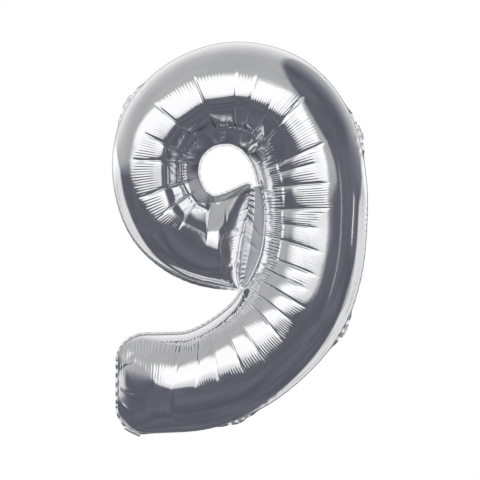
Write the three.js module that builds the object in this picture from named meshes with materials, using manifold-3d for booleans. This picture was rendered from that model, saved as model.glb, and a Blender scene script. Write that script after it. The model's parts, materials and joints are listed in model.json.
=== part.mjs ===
// Foil number balloon in the shape of a nine, inflated.
//
// Two die-cut sheets of metallised film are heat-sealed to each other round their edge and
// inflated, so the figure is one pillowy tube that runs from the tail, up the stem, round the
// ring and into the arm, which is sealed to the stem by a flat web. A filling neck with a
// self-sealing valve of two thin plies leaves the corner of the tail, and four D-shaped hanging
// tabs stand on the seam. Millimetres, +Z up, front of the figure towards -Y.

import * as THREE from 'three';
import { mergeVertices } from 'three/addons/utils/BufferGeometryUtils.js';
import Module from 'manifold-3d';

// ---- driving dimensions -------------------------------------------------------------------

// The tube's centre line, tail to arm, in the plane of the figure: x, z and the tube's width
// there. x and z are measured from the centre of the nine's hole.
const TUBE_STATIONS = [
  [-236, -468, 216],
  [-138, -468, 214],
  [-54, -460, 214],
  [30, -423, 220],
  [104, -363, 224],
  [154, -291, 236],
  [185, -204, 232],
  [195, -113, 230],
  [192, -28, 234],
  [168, 67, 240],
  [107, 140, 242],
  [19, 168, 228],
  [-71, 145, 211],
  [-134, 81, 200],
  [-152, -7, 190],
  [-124, -97, 187],
  [-58, -147, 184],
  [42, -149, 222],
];
const DEPTH_OVER_WIDTH = 0.76;     // the inflated tube is flatter than it is wide
const TAIL = { cap: 95, corner: 58 };   // length of the pillow end, radius of its corners
const ARM = { cap: 62, corner: 7 };
const ARM_LEAN = 0.10;             // the arm's end line leans out towards the hole
const ARM_LEAN_LENGTH = 130;

const FILM = 1.0;                  // wall of the film solids
const CLEARANCE = 0.3;
const WELD_HALF = 0.9;             // half thickness of the fused band between the two sheets
const PLY_INNER = WELD_HALF + CLEARANCE;
const PLY_OUTER = PLY_INNER + FILM;
const SEAM_WIDTH = 6;              // flat seam outside the inflated edge
const WELD_INSET = 0.6;            // the fused band stops short of the cut edge

const NECK = { width: 38, length: 62, cornerAngle: 64, fold: 84, sideSeal: 4, round: 5 };
const VALVE = { width: 28, film: 0.6, gap: 0.3, inside: 120, outside: 50 };
const NECK_ROOT_GAP = 2.6;         // seam edge to the neck's fold line

const TAB = { width: 34, length: 12, hole: 5, holeAt: 5.5, fold: 70, half: 1.1, rootGap: 1.5 };
const TAB_AT = {                   // place of each tab along the tube, in stations
  upper_left: 12.85,
  upper_right: 8.75,
  lower_right: 4.95,
  bottom: 2.45,
};

const CAP_STEPS = 5;
const BODY_STEPS = 54;
const ROUND_STEPS = 10;            // across the tube, seam to seam
const CORNER_STEPS = 5;
const ROUND_CORNER_STEPS = 4;      // on each rounded corner of the neck's mouth
const TAB_CURVE_STEPS = 12;
const EXTENSION = 40;              // how far the arm's edges are run on to meet the stem

const SILVER = { color: 0xb9b9bf, roughness: 0.12, metalness: 1.0 };
const DULL_SILVER = { color: 0x9a9aa0, roughness: 0.3, metalness: 1.0 };
const CLEAR_FILM = { color: 0xe6ebee, roughness: 0.35, metalness: 0.0 };

// ---- solids -------------------------------------------------------------------------------

const wasm = await Module();
wasm.setup();

// A three.js geometry as a manifold-3d solid, for cutting and joining.
function toSolid(geometry) {
  const bare = geometry.clone();
  bare.deleteAttribute('normal');
  bare.deleteAttribute('uv');
  const merged = mergeVertices(bare, 1e-4);
  return new wasm.Manifold(new wasm.Mesh({
    numProp: 3,
    vertProperties: Float32Array.from(merged.attributes.position.array),
    triVerts: Uint32Array.from(merged.index.array),
  }));
}

function toGeometry(solid) {
  const mesh = solid.getMesh();
  const geometry = new THREE.BufferGeometry();
  geometry.setAttribute('position', new THREE.BufferAttribute(mesh.vertProperties, 3));
  geometry.setIndex(new THREE.BufferAttribute(mesh.triVerts, 1));
  geometry.computeVertexNormals();
  return geometry;
}

function namedMesh(name, geometry, finish) {
  const mesh = new THREE.Mesh(geometry, new THREE.MeshStandardMaterial(finish));
  mesh.name = name;
  return mesh;
}

// A flat plate with the outline of a shape drawn in x and z, between two depths in y.
function plate(shape, yLow, yHigh, curveSegments = 1) {
  const geometry = new THREE.ExtrudeGeometry(shape, {
    depth: yHigh - yLow, bevelEnabled: false, curveSegments,
  });
  geometry.rotateX(Math.PI / 2);
  geometry.translate(0, yHigh, 0);
  return geometry;
}

// ---- the tube's plan ----------------------------------------------------------------------

// x and z of the centre line ride in the curve's x and z, and the tube's width in its y.
const tubeCurve = new THREE.CatmullRomCurve3(
  TUBE_STATIONS.map(([x, z, width]) => new THREE.Vector3(x, width, z)), false, 'catmullrom', 0.5);
const LAST_STATION = TUBE_STATIONS.length - 1;

function planLength() {
  const steps = 40 * LAST_STATION;
  let total = 0;
  let before = tubeCurve.getPoint(0);
  for (let i = 1; i <= steps; i += 1) {
    const here = tubeCurve.getPoint(i / steps);
    total += Math.hypot(here.x - before.x, here.z - before.z);
    before = here;
  }
  return total;
}
const LENGTH = planLength();

// The centre line at a length s from the tail's end seam, run on straight past both ends.
function station(s) {
  const inside = THREE.MathUtils.clamp(s, 0, LENGTH);
  const u = inside / LENGTH;
  const point = tubeCurve.getPoint(u);
  const ahead = tubeCurve.getPoint(Math.min(u + 0.002, 1));
  const behind = tubeCurve.getPoint(Math.max(u - 0.002, 0));
  const along = new THREE.Vector2(ahead.x - behind.x, ahead.z - behind.z).normalize();
  const beyond = s - inside;
  return {
    centre: new THREE.Vector2(point.x, point.z).addScaledVector(along, beyond),
    along,
    inward: new THREE.Vector2(-along.y, along.x),
    half: point.y / 2,
  };
}

// A point of the plan: s along the tube, v across it, positive towards the inside of the bend.
function planPoint(s, v) {
  const { centre, along, inward } = station(s);
  const lean = ARM_LEAN * THREE.MathUtils.smoothstep(s, LENGTH - ARM_LEAN_LENGTH, LENGTH);
  return centre.clone().addScaledVector(inward, v).addScaledVector(along, lean * v);
}

function cornerInset(distance, radius) {
  if (distance >= radius) return 0;
  const short = radius - Math.max(distance, 0);
  return radius - Math.sqrt(radius * radius - short * short);
}

// Half the width between the seams, narrowed where the ends are rounded.
function halfWidth(s) {
  return station(s).half - Math.max(
    cornerInset(s, TAIL.corner), cornerInset(LENGTH - s, ARM.corner));
}

// One long edge of the tube, side 1 inside the bend and -1 outside it, moved out by grow.
function edgePath(side, grow, sFrom, sTo, steps) {
  const points = [];
  for (let i = 0; i <= steps; i += 1) {
    const s = sFrom + (sTo - sFrom) * i / steps;
    points.push(planPoint(s, side * (station(s).half + grow)));
  }
  return points;
}

// A rounded corner of an end: at 'tail' or 'arm', on one side, from the end to the long edge.
function cornerPath(end, side, grow) {
  const radius = end === 'tail' ? TAIL.corner : ARM.corner;
  const points = [];
  for (let i = 0; i < CORNER_STEPS; i += 1) {
    const angle = (Math.PI / 2) * i / CORNER_STEPS;
    const reach = radius - (radius + grow) * Math.cos(angle);
    const s = end === 'tail' ? reach : LENGTH - reach;
    const half = station(s).half - radius + (radius + grow) * Math.sin(angle);
    points.push(planPoint(s, side * half));
  }
  return points;
}

// Where two runs of points cross: the crossing, and how many points of each come before it.
function crossing(first, second) {
  for (let i = 0; i < first.length - 1; i += 1) {
    for (let j = 0; j < second.length - 1; j += 1) {
      const a = first[i + 1].clone().sub(first[i]);
      const b = second[j + 1].clone().sub(second[j]);
      const gap = second[j].clone().sub(first[i]);
      const turn = a.cross(b);
      const onFirst = gap.cross(b) / turn;
      const onSecond = gap.cross(a) / turn;
      if (onFirst >= 0 && onFirst <= 1 && onSecond >= 0 && onSecond <= 1) {
        return { point: first[i].clone().addScaledVector(a, onFirst), first: i + 1, second: j + 1 };
      }
    }
  }
  throw new Error('the two edges do not cross');
}

// The inflated strip's own outline, grown or shrunk.
function stripShape(grow) {
  const right = edgePath(-1, grow, TAIL.corner, LENGTH - ARM.corner, BODY_STEPS);
  const left = edgePath(1, grow, TAIL.corner, LENGTH - ARM.corner, BODY_STEPS);
  return new THREE.Shape([
    ...cornerPath('tail', -1, grow),
    ...right,
    ...cornerPath('arm', -1, grow).reverse(),
    ...cornerPath('arm', 1, grow),
    ...left.reverse(),
    ...cornerPath('tail', 1, grow).reverse(),
  ]);
}

// The whole figure's cut outline: the seam outside the strip, the web and the hole.
function figureShape(grow) {
  const middle = LENGTH / 2;
  const outside = edgePath(-1, grow, TAIL.corner, LENGTH + EXTENSION, BODY_STEPS + 2);
  const inside = edgePath(1, grow, TAIL.corner, middle, BODY_STEPS / 2);
  const crotch = crossing(outside, inside);
  const rimStart = edgePath(1, grow, LENGTH / 3, middle, BODY_STEPS / 6);
  const rimEnd = edgePath(1, grow, middle, LENGTH + EXTENSION, BODY_STEPS / 2);
  const notch = crossing(rimStart, rimEnd);
  const shape = new THREE.Shape([
    ...cornerPath('tail', -1, grow),
    ...outside.slice(0, crotch.first),
    crotch.point,
    ...inside.slice(0, crotch.second).reverse(),
    ...cornerPath('tail', 1, grow).reverse(),
  ]);
  shape.holes.push(new THREE.Path([
    notch.point,
    ...rimStart.slice(notch.first, -1),
    ...rimEnd.slice(0, notch.second),
  ]));
  return shape;
}

// ---- the two sheets -----------------------------------------------------------------------

// Rows of the dome along the tube: how far along, and how much of the full depth is reached.
function domeRows() {
  const rows = [];
  for (let i = 0; i < CAP_STEPS; i += 1) {
    const angle = (Math.PI / 2) * i / CAP_STEPS;
    rows.push({ s: TAIL.cap * (1 - Math.cos(angle)), rise: Math.sin(angle) });
  }
  const full = LENGTH - TAIL.cap - ARM.cap;
  for (let i = 0; i <= BODY_STEPS; i += 1) {
    rows.push({ s: TAIL.cap + full * i / BODY_STEPS, rise: 1 });
  }
  for (let i = CAP_STEPS - 1; i >= 0; i -= 1) {
    const angle = (Math.PI / 2) * i / CAP_STEPS;
    rows.push({ s: LENGTH - ARM.cap * (1 - Math.cos(angle)), rise: Math.sin(angle) });
  }
  return rows;
}

// One side of the inflated tube as a thin open shell, closed all over as a solid.
function domeGeometry(side) {
  const rows = domeRows();
  const rim = PLY_INNER + 0.2;
  const positions = [];
  for (const inset of [0, FILM]) {
    for (const row of rows) {
      const s = inset + row.s * (LENGTH - 2 * inset) / LENGTH;
      const half = halfWidth(s) - inset;
      const depth = (station(s).half * DEPTH_OVER_WIDTH - inset) * row.rise;
      for (let j = 0; j <= ROUND_STEPS; j += 1) {
        const angle = Math.PI * (j / ROUND_STEPS - 0.5);
        const point = planPoint(s, half * Math.sin(angle));
        positions.push(point.x, side * (rim + depth * Math.cos(angle)), point.y);
      }
    }
  }
  const across = ROUND_STEPS + 1;
  const layer = rows.length * across;
  const indices = [];
  const quad = (a, b, c, d) => indices.push(a, b, c, a, c, d);
  for (let i = 0; i < rows.length - 1; i += 1) {
    for (let j = 0; j < ROUND_STEPS; j += 1) {
      const a = i * across + j;
      quad(a, a + 1, a + across + 1, a + across);
      quad(layer + a, layer + a + across, layer + a + across + 1, layer + a + 1);
    }
  }
  const join = (a, b) => quad(a, a + layer, b + layer, b);
  for (let j = 0; j < ROUND_STEPS; j += 1) {
    join(j, j + 1);
    join(layer - across + j + 1, layer - across + j);
  }
  for (let i = 0; i < rows.length - 1; i += 1) {
    join((i + 1) * across, i * across);
    join(i * across + ROUND_STEPS, (i + 1) * across + ROUND_STEPS);
  }
  if (side < 0) indices.reverse();
  const geometry = new THREE.BufferGeometry();
  geometry.setAttribute('position', new THREE.Float32BufferAttribute(positions, 3));
  geometry.setIndex(indices);
  return geometry;
}

// side -1 is the front sheet, 1 the back one.
function sheet(name, side) {
  const [yLow, yHigh] = side < 0 ? [-PLY_OUTER, -PLY_INNER] : [PLY_INNER, PLY_OUTER];
  const flat = toSolid(plate(figureShape(SEAM_WIDTH), yLow, yHigh));
  const opening = toSolid(plate(stripShape(-FILM / 2), yLow - 1, yHigh + 1));
  const whole = flat.subtract(opening).add(toSolid(domeGeometry(side)));
  return namedMesh(name, toGeometry(whole), SILVER);
}

// ---- neck and valve -----------------------------------------------------------------------

// A place on the cut edge: the point, and the way out of the figure there.
function neckRoot() {
  const angle = THREE.MathUtils.degToRad(NECK.cornerAngle);
  const s = TAIL.corner * (1 - Math.cos(angle));
  const v = -(station(s).half - TAIL.corner * (1 - Math.sin(angle)));
  const { along, inward } = station(s);
  const outward = new THREE.Vector2()
    .addScaledVector(along, -Math.cos(angle)).addScaledVector(inward, -Math.sin(angle));
  return { point: planPoint(s, v), outward };
}

function tabRoot(place) {
  const s = LENGTH * place / LAST_STATION;
  return { point: planPoint(s, -station(s).half), outward: station(s).inward.clone().negate() };
}

// A group whose +Z runs out of the figure from its edge, +Y to the back and +X along the edge,
// standing off by reach and folded towards the back by fold degrees.
function edgeGroup({ point, outward }, reach, fold) {
  const group = new THREE.Group();
  const foot = point.clone().addScaledVector(outward, reach);
  const basis = new THREE.Matrix4().makeBasis(
    new THREE.Vector3(outward.y, 0, -outward.x),
    new THREE.Vector3(0, 1, 0),
    new THREE.Vector3(outward.x, 0, outward.y));
  group.quaternion.setFromRotationMatrix(basis);
  group.rotateX(-THREE.MathUtils.degToRad(fold));
  group.position.set(foot.x, 0, foot.y);
  return group;
}

function rectangle(xLow, xHigh, zLow, zHigh) {
  return new THREE.Shape([
    new THREE.Vector2(xLow, zLow),
    new THREE.Vector2(xHigh, zLow),
    new THREE.Vector2(xHigh, zHigh),
    new THREE.Vector2(xLow, zHigh),
  ]);
}

// The neck's ply: straight, with the two corners of its mouth rounded.
function neckPlyShape() {
  const half = NECK.width / 2;
  const shape = new THREE.Shape();
  shape.moveTo(-half, 0);
  shape.lineTo(half, 0);
  shape.lineTo(half, NECK.length - NECK.round);
  shape.absarc(half - NECK.round, NECK.length - NECK.round, NECK.round, 0, Math.PI / 2, false);
  shape.absarc(-half + NECK.round, NECK.length - NECK.round, NECK.round, Math.PI / 2, Math.PI, false);
  return shape;
}

function neck() {
  const group = edgeGroup(neckRoot(), SEAM_WIDTH + NECK_ROOT_GAP, NECK.fold);
  const half = NECK.width / 2;
  const sealEnd = NECK.length - NECK.round;
  group.add(
    namedMesh('neck_front_ply', plate(
      neckPlyShape(), -PLY_OUTER, -PLY_INNER, ROUND_CORNER_STEPS), SILVER),
    namedMesh('neck_back_ply', plate(
      neckPlyShape(), PLY_INNER, PLY_OUTER, ROUND_CORNER_STEPS), SILVER),
    namedMesh('neck_side_seal_left', plate(
      rectangle(-half, -half + NECK.sideSeal, 0, sealEnd), -WELD_HALF, WELD_HALF), DULL_SILVER),
    namedMesh('neck_side_seal_right', plate(
      rectangle(half - NECK.sideSeal, half, 0, sealEnd), -WELD_HALF, WELD_HALF), DULL_SILVER),
  );
  for (const [name, yLow] of [['front', -VALVE.gap - VALVE.film], ['back', VALVE.gap]]) {
    group.add(namedMesh(`valve_${name}_film_outer`, plate(
      rectangle(-VALVE.width / 2, VALVE.width / 2, 0, VALVE.outside),
      yLow, yLow + VALVE.film), CLEAR_FILM));
  }
  return group;
}

// The part of the valve that lies in the seam and hangs inside the tube.
function innerValve() {
  const group = edgeGroup(neckRoot(), SEAM_WIDTH, 0);
  for (const [name, yLow] of [['front', -VALVE.gap - VALVE.film], ['back', VALVE.gap]]) {
    group.add(namedMesh(`valve_${name}_film_inner`, plate(
      rectangle(-VALVE.width / 2, VALVE.width / 2, -VALVE.inside, 0),
      yLow, yLow + VALVE.film), CLEAR_FILM));
  }
  return group;
}

// The fused band between the two sheets, open where the valve passes through it.
function seamWeld() {
  const band = toSolid(plate(figureShape(SEAM_WIDTH - WELD_INSET), -WELD_HALF, WELD_HALF));
  const opening = toSolid(plate(stripShape(WELD_INSET), -1, 1));
  const { point, outward } = neckRoot();
  const passage = new THREE.BoxGeometry(VALVE.width + 2 * CLEARANCE, 4, 4 * SEAM_WIDTH);
  passage.rotateY(Math.atan2(outward.x, outward.y));
  passage.translate(point.x, 0, point.y);
  const cut = band.subtract(opening).subtract(toSolid(passage));
  return namedMesh('seam_weld', toGeometry(cut), DULL_SILVER);
}

// ---- hanging tabs -------------------------------------------------------------------------

function tab(name, place) {
  const group = edgeGroup(tabRoot(place), SEAM_WIDTH + TAB.rootGap, TAB.fold);
  const half = TAB.width / 2;
  const shape = new THREE.Shape();
  shape.moveTo(-half, 0);
  shape.lineTo(half, 0);
  shape.absellipse(0, 0, half, TAB.length, 0, Math.PI, false, 0);
  const hole = new THREE.Path();
  hole.absarc(0, TAB.holeAt, TAB.hole / 2, 0, 2 * Math.PI, true);
  shape.holes.push(hole);
  group.add(namedMesh(`hang_tab_${name}`, plate(
    shape, -TAB.half, TAB.half, TAB_CURVE_STEPS), SILVER));
  return group;
}

// Centre of a tab's hole, which is the point that the balloon hangs from.
function tabHole(place) {
  const group = edgeGroup(tabRoot(place), SEAM_WIDTH + TAB.rootGap, TAB.fold);
  group.updateMatrixWorld();
  return group.localToWorld(new THREE.Vector3(0, 0, TAB.holeAt));
}

// ---- the balloon --------------------------------------------------------------------------

const balloon = new THREE.Group();
balloon.add(
  sheet('front_foil_sheet', -1),
  sheet('back_foil_sheet', 1),
  seamWeld(),
  innerValve(),
  neck(),
);
for (const [name, place] of Object.entries(TAB_AT)) balloon.add(tab(name, place));
balloon.position.copy(tabHole(TAB_AT.upper_left)).negate();

const figure = new THREE.Group();
figure.add(balloon);

export default figure;
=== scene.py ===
import json

import bpy
import numpy as np
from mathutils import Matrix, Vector


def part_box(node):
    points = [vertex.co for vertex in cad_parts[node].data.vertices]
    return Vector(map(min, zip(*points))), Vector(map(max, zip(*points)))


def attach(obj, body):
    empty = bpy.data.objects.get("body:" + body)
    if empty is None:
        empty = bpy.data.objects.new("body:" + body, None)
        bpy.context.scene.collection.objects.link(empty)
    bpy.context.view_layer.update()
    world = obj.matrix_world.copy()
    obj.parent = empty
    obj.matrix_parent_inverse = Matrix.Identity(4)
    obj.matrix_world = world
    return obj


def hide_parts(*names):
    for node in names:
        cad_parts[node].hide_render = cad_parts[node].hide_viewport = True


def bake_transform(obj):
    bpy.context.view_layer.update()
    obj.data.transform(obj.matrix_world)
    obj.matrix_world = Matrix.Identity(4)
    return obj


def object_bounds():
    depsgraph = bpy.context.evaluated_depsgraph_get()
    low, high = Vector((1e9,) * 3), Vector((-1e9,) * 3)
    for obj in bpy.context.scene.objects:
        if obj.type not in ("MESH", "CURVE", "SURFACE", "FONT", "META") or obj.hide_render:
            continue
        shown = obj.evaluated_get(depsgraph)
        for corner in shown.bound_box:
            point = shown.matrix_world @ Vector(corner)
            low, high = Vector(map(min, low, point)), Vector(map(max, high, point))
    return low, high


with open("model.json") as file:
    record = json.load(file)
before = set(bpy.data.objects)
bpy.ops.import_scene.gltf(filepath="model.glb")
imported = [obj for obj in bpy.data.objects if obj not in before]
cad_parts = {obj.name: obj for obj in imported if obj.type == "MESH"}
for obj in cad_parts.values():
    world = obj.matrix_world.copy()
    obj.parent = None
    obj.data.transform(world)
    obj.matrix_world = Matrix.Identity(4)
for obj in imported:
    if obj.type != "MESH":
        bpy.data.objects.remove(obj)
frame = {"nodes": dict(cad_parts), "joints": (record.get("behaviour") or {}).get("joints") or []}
CAD_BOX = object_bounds()

MM = 0.001

# ---- driving dimensions, the same figure as the CAD model's --------------------------------

# The tube's centre line from the tail to the arm: x, z and the tube's width, in millimetres
# from the centre of the nine's hole.
TUBE_STATIONS = np.array([
    (-236, -468, 216),
    (-138, -468, 214),
    (-54, -460, 214),
    (30, -423, 220),
    (104, -363, 224),
    (154, -291, 236),
    (185, -204, 232),
    (195, -113, 230),
    (192, -28, 234),
    (168, 67, 240),
    (107, 140, 242),
    (19, 168, 228),
    (-71, 145, 211),
    (-134, 81, 200),
    (-152, -7, 190),
    (-124, -97, 187),
    (-58, -147, 184),
    (42, -149, 222),
], float) * MM
LAST_STATION = len(TUBE_STATIONS) - 1
DEPTH_OVER_WIDTH = 0.76
TAIL_CAP, TAIL_CORNER = 125 * MM, 58 * MM
ARM_CAP, ARM_CORNER = 52 * MM, 7 * MM
ARM_LEAN, ARM_LEAN_LENGTH = 0.10, 130 * MM
SEAM_WIDTH = 6 * MM
STRIP_FROM = 13.62              # the strip of painted shade under the hole starts at this station
TAB_AT = {"upper_left": 12.85, "upper_right": 8.75, "lower_right": 4.95, "bottom": 2.45}
PLY = 0.15 * MM                 # each sheet lies this far from the seam's plane
CAD_PLY = 1.2 * MM              # from the CAD front sheet's back to the seam's plane

NECK_WIDTH, NECK_LENGTH, NECK_ROUND = 38 * MM, 62 * MM, 5 * MM
NECK_FOLD = 84                  # degrees back from the figure's plane
NECK_ROOT = 6 * MM              # the neck's films run this far back over the seam
NECK_SEAL = 4 * MM
VALVE_WIDTH, VALVE_LENGTH = 28 * MM, 50 * MM
TAB_WIDTH, TAB_LENGTH = 34 * MM, 12 * MM
TAB_HOLE, TAB_HOLE_AT = 5 * MM, 5.5 * MM
TAB_FOLD = 70
TAB_ROOT = 3 * MM
NECK_BEND, TAB_BEND = 1.8 * MM, 1.0 * MM        # radii of the folds
CRIMP, CRIMP_PITCH = 0.10 * MM, 1.6 * MM        # of the neck's side seals

# Mesh density
STEP = 1.5 * MM                 # along the tube
ROUND_ROWS = 76                 # across the tube, seam to seam
SEAM_ROWS = 4
WEB_ROWS, CRIMPED_ROWS = 14, 6  # across the web, and those of them beside the arm

# Seeds of the two sheets' wrinkles; the seam band follows the front sheet's
FRONT_SEED, BACK_SEED = 21, 34

# Where the tube's film behaves differently, in stations: two places give a change from one to
# the other, four a stretch that starts between the first two and ends between the last two.
STEM_STRAIGHTENS = (3.4, 4.8)
RING_STRAIGHTENS = (8.0, 10.0)
RING_TIGHTENS = (7.6, 9.2)
ARM_ROUNDS_OVER = (16.2, 16.9)
HOLE_WIDENS = (8.5, 10.5, 14, 15)
LEDGE_RUNS = (5.2, 6.0, 15.4, 16.0)
LEDGE_QUIET = (8.7, 9.0, 9.9, 10.3)
LEDGE_FAR_IN = (9.2, 9.8, 11.5, 12.0)
LEDGE_MOVES_IN = (14.0, 15.0)
TILT_QUIET = (8.7, 9.0, 10.6, 11.0)
STRIP_NARROWS = (15.2, 16.2)

# Where the inner seam leaves the tube's even width: the arm's raised tip, the wider hole, and
# bumps at the hole's foot, as height and stretch from the arm's end in millimetres.
ARM_TIP, ARM_TIP_LENGTH = 9 * MM, 30 * MM
HOLE_WIDENING = 4 * MM
FOOT_BUMPS = [(5, (62, 92, 118, 190)), (-3, (22, 45, 58, 84))]

# How the depth falls off at the ends: the share that the arm lacks, fading out between two
# lengths from its end, and the power of each pillow end's curve.
ARM_SLACK, ARM_SLACK_FROM, ARM_SLACK_TO = 0.40, 30 * MM, 190 * MM
TAIL_CAP_POWER, ARM_CAP_POWER = 1.8, 1.35

# Heights of the wrinkles
CREASE_WIDTH, CREASE_SHOULDER = 2.0 * MM, 9 * MM
CHORD_PULL = 0.62               # how far the film runs straight from crease to crease
TILT, PILLOW, SWELL = 1.3 * MM, 0.7 * MM, 0.8 * MM
RIDGE_PITCH, RIDGE_PLEAT, FAINT_PLEAT = 5.3 * MM, 0.50 * MM, 0.30 * MM
SEAM_PITCH, STEM_PLEAT, RING_PLEAT = 5.6 * MM, 1.25 * MM, 0.32 * MM
PUCKER_PITCH, PUCKER = 16 * MM, 0.8 * MM
LEDGE_AT, LEDGE_DEPTH, LEDGE_SPREAD = 0.60, 1.3 * MM, 0.5 * MM
END_FOLD_WIDTH = 3.0 * MM
WEB_CRIMP_PITCH, WEB_CRIMP = 11 * MM, 1.3 * MM
WEB_TUCK_PITCH, WEB_TUCK = 47 * MM, 2.5 * MM

# Camera: its distance in metres, the width that it sees at the figure, and its sensor in mm
CAMERA_DISTANCE, VIEW_WIDTH, SENSOR = 3.6, 1.056, 36

# Soft light and floor: sizes and places in metres, power in watts
LIGHT_SIZE, LIGHT_POWER, LIGHT_FORWARD, LIGHT_ABOVE = 3.0, 75, 0.6, 1.6
FLOOR_RADIUS, FLOOR_BELOW = 1.6, 0.75

# How bright the parts of the mirrored room are, and the tint of its dark and white parts
DARK_LEVEL, PATCHY_LEVEL, GREY_LEVEL, OVERHEAD_LEVEL = 0.116, 0.055, 0.315, 0.5
STRIP_LEVEL, SPOT_LEVEL, WHITE_LEVEL = 0.35, 0.8, 0.64
DARK_TINT, WHITE_TINT = (0.84, 0.89, 1.06), (0.99, 0.99, 1.0)

# Main creases: place along the tube in stations at the ridge and at the inner seam, how far
# out they start (-1 outer seam, 1 inner seam), and their depth in millimetres.
CREASES = [
    (0.35, 0.30, 0.35, 1.2),
    (0.85, 0.95, 0.10, 1.6),
    (1.25, 1.70, -0.05, 2.2),
    (1.88, 2.42, -0.10, 2.6),
    (2.45, 2.80, -0.15, 2.4),
    (3.04, 3.28, -0.20, 3.0),
    (3.54, 3.70, -0.25, 2.6),
    (4.12, 4.38, -0.20, 3.2),
    (4.60, 4.78, -0.10, 1.8),
    (5.04, 5.20, -0.15, 3.0),
    (5.42, 5.55, -0.05, 2.0),
    (5.79, 5.94, -0.15, 3.0),
    (6.33, 6.58, -0.15, 3.0),
    (6.85, 6.95, -0.05, 2.2),
    (7.33, 7.28, -0.20, 2.6),
    (7.96, 8.05, -0.25, 3.4),
    (8.40, 8.34, -0.10, 2.0),
    (8.71, 8.56, -0.35, 3.6),
    (9.62, 9.45, -0.45, 4.6),
    (10.10, 10.05, -0.20, 1.8),
    (10.58, 10.58, -0.40, 3.6),
    (10.96, 11.00, -0.40, 3.6),
    (11.75, 11.75, -0.50, 4.4),
    (12.62, 12.62, -0.50, 4.2),
    (13.25, 13.42, -0.45, 4.0),
    (13.71, 13.62, -0.55, 4.2),
    (14.42, 14.30, -0.45, 4.0),
    (14.92, 14.70, -0.30, 3.4),
    (15.46, 15.22, -0.20, 3.0),
    (16.21, 16.10, -0.10, 3.2),
    (16.62, 16.56, 0.10, 2.6),
]

# Folds that run in from an end: which end, place across the tube (-1 outer seam, 1 inner),
# drift of that place for each 100 mm, reach and depth in millimetres.
END_FOLDS = [
    ("tail", -0.12, -0.10, 60, 1.2),
    ("tail", 0.42, 0.15, 45, 0.8),
    ("tail", -0.55, -0.20, 40, 0.8),
    ("arm", 0.10, 0.25, 70, 1.4),
    ("arm", -0.45, -0.50, 80, 2.0),
]


# ---- small maths ----------------------------------------------------------------------------

def smoothstep(low, high, x):
    t = np.clip((x - low) / (high - low), 0.0, 1.0)
    return t * t * (3 - 2 * t)


def hump(low, peak_low, peak_high, high, x):
    """Rises from low to peak_low, stays at 1 and falls from peak_high to high."""
    return smoothstep(low, peak_low, x) * (1 - smoothstep(peak_high, high, x))


def change(places, s):
    """From 0 to 1 along the tube, between two places in stations."""
    return smoothstep(places[0] * STATION, places[1] * STATION, s)


def stretch(places, s):
    """1 on a stretch of the tube given by four places in stations, 0 outside it."""
    return hump(*(place * STATION for place in places), s)


def wander(rng, x, period):
    """Smooth seeded noise of x between about -1 and 1, with one knot for each period."""
    low, high = float(np.min(x)), float(np.max(x))
    knots = int((high - low) / period) + 5
    values = rng.uniform(-1, 1, knots)
    place = (x - low) / period + 1
    i = np.floor(place).astype(int)
    f = place - i
    f = f * f * (3 - 2 * f)
    return values[i] * (1 - f) + values[i + 1] * f


def wander2(rng, x, y, period_x, period_y):
    """The same in two directions, for grids of x and y."""
    px = (x - x.min()) / period_x + 1
    py = (y - y.min()) / period_y + 1
    values = rng.uniform(-1, 1, (int(px.max()) + 3, int(py.max()) + 3))
    i, j = np.floor(px).astype(int), np.floor(py).astype(int)
    f, g = px - i, py - j
    f, g = f * f * (3 - 2 * f), g * g * (3 - 2 * g)
    return ((values[i, j] * (1 - f) + values[i + 1, j] * f) * (1 - g)
            + (values[i, j + 1] * (1 - f) + values[i + 1, j + 1] * f) * g)


# ---- the tube's plan ------------------------------------------------------------------------

def tube_row(k):
    """x, z and width of the tube, and the rate of x and z, at places k in stations."""
    points = np.vstack([2 * TUBE_STATIONS[0] - TUBE_STATIONS[1], TUBE_STATIONS,
                        2 * TUBE_STATIONS[-1] - TUBE_STATIONS[-2]])
    i = np.clip(np.floor(k).astype(int), 0, LAST_STATION - 1)
    t = (k - i)[..., None]
    p0, p1, p2, p3 = (points[i + n] for n in range(4))
    a, b, c = p2 - p0, 2 * p0 - 5 * p1 + 4 * p2 - p3, 3 * p1 - p0 - 3 * p2 + p3
    return p1 + 0.5 * (a * t + b * t ** 2 + c * t ** 3), 0.5 * (a + 2 * b * t + 3 * c * t ** 2)


def plan_length():
    here, _ = tube_row(np.linspace(0, LAST_STATION, 40 * LAST_STATION + 1))
    return float(np.linalg.norm(np.diff(here[:, :2], axis=0), axis=1).sum())


LENGTH = plan_length()
STATION = LENGTH / LAST_STATION     # length of tube for each station


def section(s):
    """Centre, direction, inward direction and half width of the tube at lengths s."""
    inside = np.clip(s, 0, LENGTH)
    here, rate = tube_row(inside / STATION)
    along = rate[..., :2] / np.linalg.norm(rate[..., :2], axis=-1, keepdims=True)
    centre = here[..., :2] + along * (s - inside)[..., None]
    inward = np.stack([-along[..., 1], along[..., 0]], -1)
    return centre, along, inward, here[..., 2] / 2


def plan_point(s, v):
    """x and z of the point v across the tube at length s, v positive inside the bend."""
    centre, along, inward, _ = section(s)
    lean = ARM_LEAN * smoothstep(LENGTH - ARM_LEAN_LENGTH, LENGTH, s)
    return centre + inward * v[..., None] + along * (lean * v)[..., None]


def corner_inset(distance, radius):
    short = np.clip(radius - np.maximum(distance, 0), 0, radius)
    return radius - np.sqrt(radius ** 2 - short ** 2)


def half_width(s):
    inset = np.maximum(corner_inset(s, TAIL_CORNER), corner_inset(LENGTH - s, ARM_CORNER))
    return section(s)[3] - inset


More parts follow.
